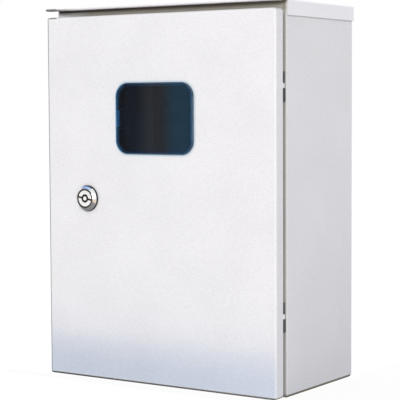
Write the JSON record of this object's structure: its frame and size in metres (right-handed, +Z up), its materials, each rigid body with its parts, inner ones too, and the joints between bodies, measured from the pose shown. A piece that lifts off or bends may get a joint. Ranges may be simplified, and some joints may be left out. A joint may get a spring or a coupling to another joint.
{
  "type": "electric meter box",
  "caption": "Wall-mounted sheet-steel meter box with a rain hood, a hinged pan door, an inspection window and a quarter-turn cam lock.",
  "frame": {"origin": "middle of the whole box at its lowest level", "axes": "+X to the right facing the door, +Y from the door to the wall, +Z up"},
  "size_m": [0.293, 0.1656, 0.4],
  "materials": {
    "powder_coat": "light grey powder coat, fine texture",
    "smoked_plastic": "clear plastic with a dark blue tint",
    "hinge_steel": "dark blued steel",
    "zinc_plate": "bright zinc plate",
    "galvanised_sheet": "galvanised sheet",
    "lock_chrome": "polished chrome",
    "lock_steel": "turned nickel-plated steel",
    "seal_rubber": "black cellular rubber",
    "grey_silicone": "dark grey silicone"
  },
  "bodies": {
    "root": {"body_shell": "powder_coat", "rain_hood": "powder_coat", "mounting_plate": "galvanised_sheet", "body_studs": "zinc_plate", "body_nuts": "zinc_plate", "lower_hinge_body_leaf": "hinge_steel", "lower_hinge_pin": "zinc_plate", "lower_hinge_ring": "zinc_plate", "upper_hinge_body_leaf": "hinge_steel", "upper_hinge_pin": "zinc_plate", "upper_hinge_ring": "zinc_plate"},
    "door": {"door_panel": "powder_coat", "door_gasket": "seal_rubber", "inspection_window": "smoked_plastic", "window_seal": "grey_silicone", "lock_housing": "lock_chrome", "lock_nut": "zinc_plate", "lower_hinge_door_leaf": "hinge_steel", "upper_hinge_door_leaf": "hinge_steel"},
    "lock_rotor": {"lock_core": "lock_steel", "lock_cam": "zinc_plate", "cam_screw": "zinc_plate"}
  },
  "joints": [
    {"name": "door_hinge", "type": "hinge", "parent": "root", "child": "door", "pos_m": [0.1424, -0.06088, 0], "axis": [0, 0, 1], "range_deg": [0, 105]},
    {"name": "lock_turn", "type": "hinge", "parent": "door", "child": "lock_rotor", "pos_m": [-0.091, -0.0828, 0.1955], "axis": [0, 1, 0], "range_deg": [0, 90]}
  ]
}
